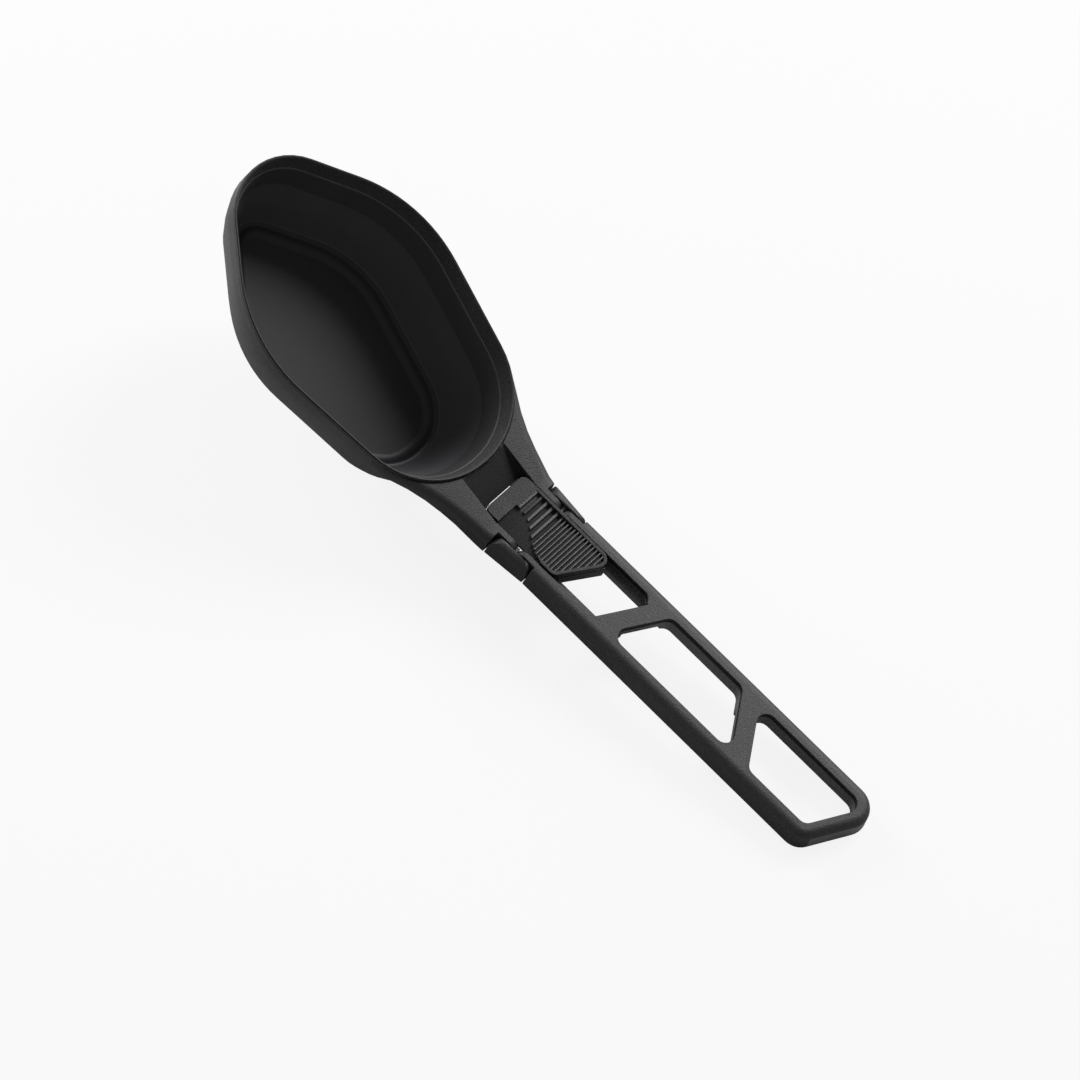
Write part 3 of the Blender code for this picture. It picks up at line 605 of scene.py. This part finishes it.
class SPOON_OT_finishes(bpy.types.Operator):
    """Gives every piece its finish"""

    bl_idname = "spoon.finishes"
    bl_label = "Finishes"

    def execute(self, context):
        looks = context.scene.spoon_looks
        grain = looks.grain
        tones = (tuple(looks.nylon_dark), tuple(looks.nylon_light))
        nylon = moulded_nylon("Charcoal nylon", tones, gloss=0.5, grain=grain)
        band = moulded_nylon("Soft black edge", shaded(tones, BAND_SHARE), gloss=0.56, grain=grain)
        lock = moulded_nylon("Lock nylon", shaded(tones, LOCK_SHARE), gloss=0.52,
                             grain=grain * LOCK_GRAIN_SHARE, shine=0.34)
        # The walls', the window wall foot's, the crests' and the border's finishes are painted light, and
        # the darker nylon is painted shade.
        floor = smooth_lining("Satin floor", FLOOR_TONES, gloss=0.46)
        wall = smooth_lining("Satin wall, painted light", LIT_WALL_TONES, gloss=0.5)
        upper = smooth_lining("Upper wall, painted dim light", DIM_LIT_UPPER_TONES, gloss=0.55)
        painted_shade = moulded_nylon("Nylon in painted shade", shaded(tones, SHADE_SHARE), gloss=0.62,
                              grain=grain, shine=0.26)
        lit_window_foot = moulded_nylon("Window wall foot, painted light", LIT_WINDOW_FOOT_TONES, gloss=0.45, grain=grain, shine=0.7)
        crest = moulded_nylon("Rib crest, painted highlight", CREST_HIGHLIGHT_TONES, gloss=0.44, grain=grain, shine=0.55)
        border_highlight = smooth_lining("Soft edge border, painted highlight", BORDER_HIGHLIGHT_TONES, gloss=0.5)
        steel = turned_steel("Pin steel", STEEL_TONE)
        finishes = {
            "bowl_shell": (nylon, floor, wall, upper, painted_shade),
            "soft_edge_band": (band, border_highlight, painted_shade),
            "link_left": (nylon,),
            "link_right": (nylon,),
            "handle_skeleton": (nylon, painted_shade, lit_window_foot),
            "thumb_slide": (lock, painted_shade, crest),
        }
        for name, materials in finishes.items():
            paint(bpy.data.objects[name], *materials)
        for name, node in frame["nodes"].items():
            if "pin" in name:
                paint(node, steel)
        return {"FINISHED"}


class SpoonStage(bpy.types.PropertyGroup):
    azimuth: bpy.props.FloatProperty(
        name="Azimuth", description="Turn of the camera about the handle's upright",
        default=radians(14.2), subtype="ANGLE")
    elevation: bpy.props.FloatProperty(
        name="Elevation", description="Height of the camera over the handle's top plane",
        default=radians(60.0), subtype="ANGLE")
    roll: bpy.props.FloatProperty(
        name="Roll", description="Turn of the picture, clockwise",
        default=radians(32.0), subtype="ANGLE")
    distance: bpy.props.FloatProperty(
        name="Distance", description="Camera to the point it looks at", default=1.14, unit="LENGTH")
    lens: bpy.props.FloatProperty(
        name="Lens", description="Focal length on a 36 mm sensor", default=137.56, unit="CAMERA")


def stage_camera(settings):
    """Sets the camera where the photo was taken from."""
    azimuth = settings.azimuth
    elevation = settings.elevation
    turn = Matrix(handle_axes()[1:]).transposed()
    ahead = Vector((-sin(azimuth) * cos(elevation), cos(azimuth) * cos(elevation), -sin(elevation)))
    right = Vector((cos(azimuth), sin(azimuth), 0))
    top = right.cross(ahead)
    level = right * cos(settings.roll) + top * sin(settings.roll)
    tall = top * cos(settings.roll) - right * sin(settings.roll)
    pose = Matrix((turn @ level, turn @ tall, turn @ -ahead)).transposed().to_4x4()
    pose.translation = placed(VIEWED_POINT) - turn @ ahead * settings.distance
    bpy.ops.object.camera_add()
    camera = bpy.context.object
    camera.name = "Camera"
    camera.matrix_world = pose
    camera.data.lens = settings.lens
    camera.data.sensor_width = SENSOR_WIDTH
    camera.data.clip_start = NEAREST
    bpy.context.scene.camera = camera


def area_light(name, place, size, power):
    """Adds a round soft lamp, turned to the end of the bowl by the hinge."""
    bpy.ops.object.light_add(type="AREA", location=place)
    lamp = bpy.context.object
    lamp.name = name
    lamp.data.shape = "DISK"
    lamp.data.size = size
    lamp.data.energy = power
    lamp.rotation_euler = (Vector(LAMP_TARGET) - Vector(place)).to_track_quat("-Z", "Y").to_euler()


def white_sky():
    """A sky that is white to the camera and dimmer as a light."""
    world = bpy.data.worlds.new("Studio")
    bpy.context.scene.world = world
    world.use_nodes = True
    tree = world.node_tree
    back = tree.nodes["Background"]
    rays = tree.nodes.new("ShaderNodeLightPath")
    seen = tree.nodes.new("ShaderNodeMath")
    seen.operation = "MAXIMUM"
    tree.links.new(rays.outputs["Is Camera Ray"], seen.inputs[0])
    tree.links.new(rays.outputs["Is Transmission Ray"], seen.inputs[1])
    reach = tree.nodes.new("ShaderNodeMapRange")
    reach.inputs["To Min"].default_value = SKY_STRENGTH
    reach.inputs["To Max"].default_value = 1.0
    tree.links.new(seen.outputs[0], reach.inputs["Value"])
    tree.links.new(reach.outputs[0], back.inputs["Strength"])
    back.inputs["Color"].default_value = WHITE


def stage_floor():
    """A pale paper floor that glows to the camera, so that only a soft shadow stays."""
    bpy.ops.mesh.primitive_plane_add(size=PAPER_SIZE)
    floor = bpy.context.object
    floor.name = "Floor"
    shader = Shader("Studio paper")
    tree = shader.tree
    shader.surface.inputs["Base Color"].default_value = PAPER_TONE
    shader.surface.inputs["Roughness"].default_value = PAPER_ROUGHNESS
    shader.surface.inputs["Specular IOR Level"].default_value = PAPER_SHINE
    glow = tree.nodes.new("ShaderNodeEmission")
    rays = tree.nodes.new("ShaderNodeLightPath")
    blend = tree.nodes.new("ShaderNodeMixShader")
    share = tree.nodes.new("ShaderNodeMath")
    share.operation = "MULTIPLY"
    share.inputs[1].default_value = PAPER_GLOW
    tree.links.new(rays.outputs["Is Camera Ray"], share.inputs[0])
    tree.links.new(share.outputs[0], blend.inputs["Fac"])
    tree.links.new(shader.surface.outputs[0], blend.inputs[1])
    tree.links.new(glow.outputs[0], blend.inputs[2])
    tree.links.new(blend.outputs[0], tree.nodes["Material Output"].inputs["Surface"])
    paint(floor, shader.material)


class SPOON_OT_stage(bpy.types.Operator):
    """Sets the floor, the soft lights and the camera"""

    bl_idname = "spoon.stage"
    bl_label = "Stage"

    def execute(self, context):
        stage_camera(context.scene.spoon_stage)
        stage_floor()
        white_sky()
        area_light("Far softbox", place=(0.0, 0.96, 0.79), size=0.7, power=19)
        area_light("Left fill", place=(-1.0, 0.06, 0.36), size=0.5, power=16)
        context.scene.view_settings.view_transform = "Standard"
        return {"FINISHED"}


class SPOON_PT_panel(bpy.types.Panel):
    bl_idname = "SPOON_PT_panel"
    bl_label = "Folding spoon"
    bl_space_type = "VIEW_3D"
    bl_region_type = "UI"
    bl_category = "Spoon"

    def draw(self, context):
        layout = self.layout
        for group in (context.scene.spoon_looks, context.scene.spoon_stage):
            for name in group.__annotations__:
                layout.prop(group, name)
        for operator in OPERATORS:
            layout.operator(operator.bl_idname)


OPERATORS = (
    SPOON_OT_bowl,
    SPOON_OT_rim,
    SPOON_OT_links,
    SPOON_OT_handle,
    SPOON_OT_lock,
    SPOON_OT_finishes,
    SPOON_OT_stage,
)
CLASSES = (SpoonLooks, SpoonStage) + OPERATORS + (SPOON_PT_panel,)


def register():
    for cls in CLASSES:
        bpy.utils.register_class(cls)
    bpy.types.Scene.spoon_looks = bpy.props.PointerProperty(type=SpoonLooks)
    bpy.types.Scene.spoon_stage = bpy.props.PointerProperty(type=SpoonStage)


def unregister():
    del bpy.types.Scene.spoon_stage
    del bpy.types.Scene.spoon_looks
    for cls in reversed(CLASSES):
        bpy.utils.unregister_class(cls)


def main():
    """Registers the add-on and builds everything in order."""
    register()
    bpy.ops.spoon.bowl()
    bpy.ops.spoon.rim()
    bpy.ops.spoon.links()
    bpy.ops.spoon.handle()
    bpy.ops.spoon.lock()
    bpy.ops.spoon.finishes()
    bpy.ops.spoon.stage()


if __name__ == "__main__":
    main()
